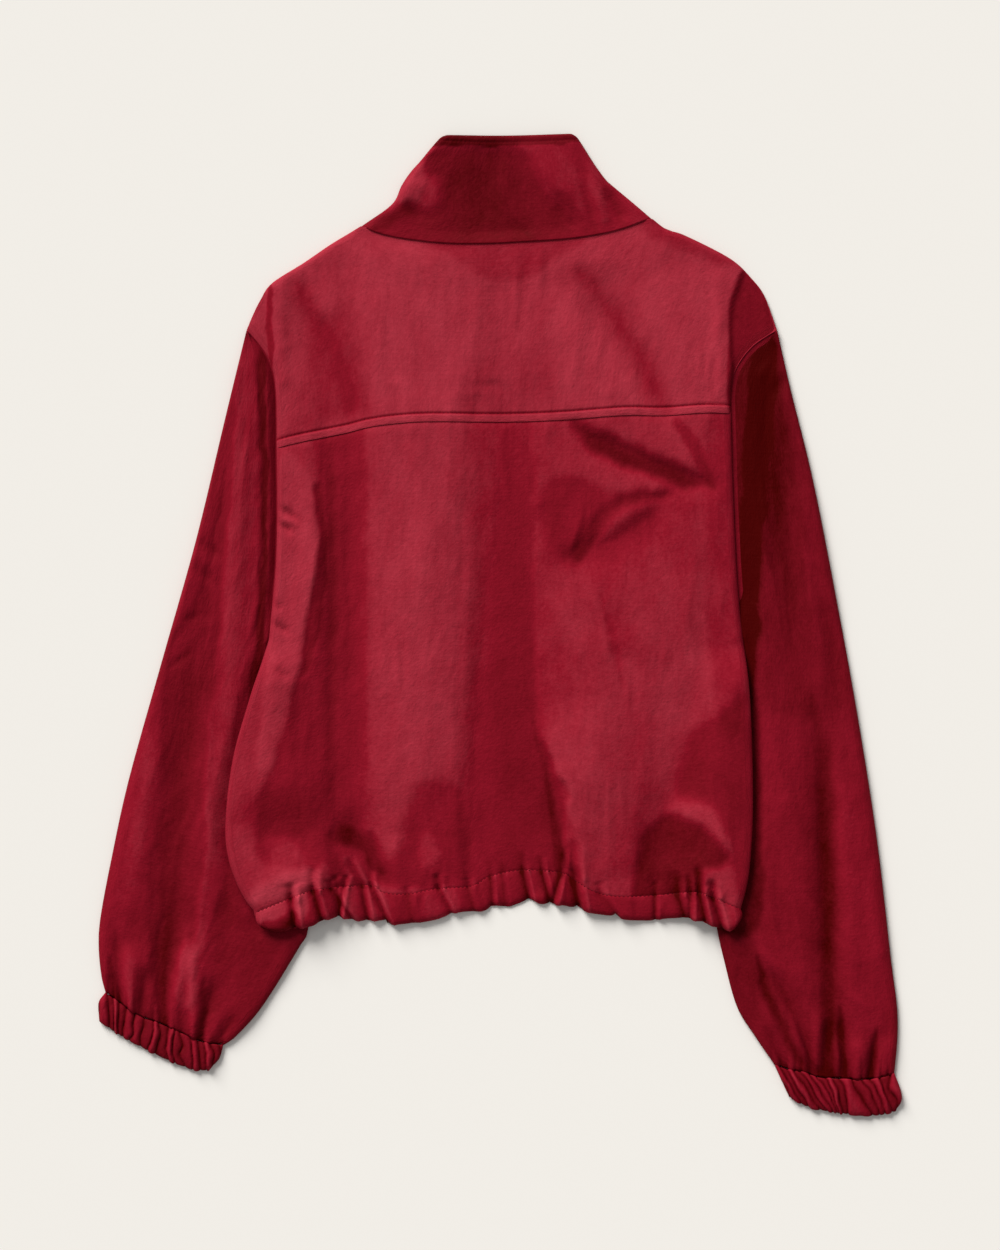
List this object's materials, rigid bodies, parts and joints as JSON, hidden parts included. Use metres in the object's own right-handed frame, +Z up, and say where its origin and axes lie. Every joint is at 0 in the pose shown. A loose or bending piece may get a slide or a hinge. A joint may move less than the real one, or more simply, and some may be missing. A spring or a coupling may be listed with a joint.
{
  "type": "bomber jacket",
  "caption": "Cropped bomber jacket laid flat on its front: stand collar, back yoke, dropped shoulders, full sleeves, gathered elastic cuffs and hem, and a full front zip.",
  "frame": {"origin": "centre of the whole jacket's bounding box, on the surface that it lies on", "axes": "+X towards the right sleeve as the back is seen, +Y from the hem to the collar, +Z up out of the back"},
  "size_m": [0.6267, 0.7672, 0.0137],
  "materials": {
    "shell_cloth": "crisp matte-satin plain weave with a fine crinkle, crimson",
    "zip_tape": "woven tape, dark crimson",
    "zip_metal": "satin, dark crimson"
  },
  "bodies": {
    "root": {"back_yoke": "shell_cloth", "back_panel": "shell_cloth", "front_left": "shell_cloth", "front_right": "shell_cloth", "sleeve_left": "shell_cloth", "sleeve_right": "shell_cloth", "cuff_left": "shell_cloth", "cuff_right": "shell_cloth", "hem_casing": "shell_cloth", "collar": "shell_cloth", "zip_tape_left": "zip_tape", "zip_tape_right": "zip_tape", "zip_slider": "zip_metal"}
  },
  "joints": []
}
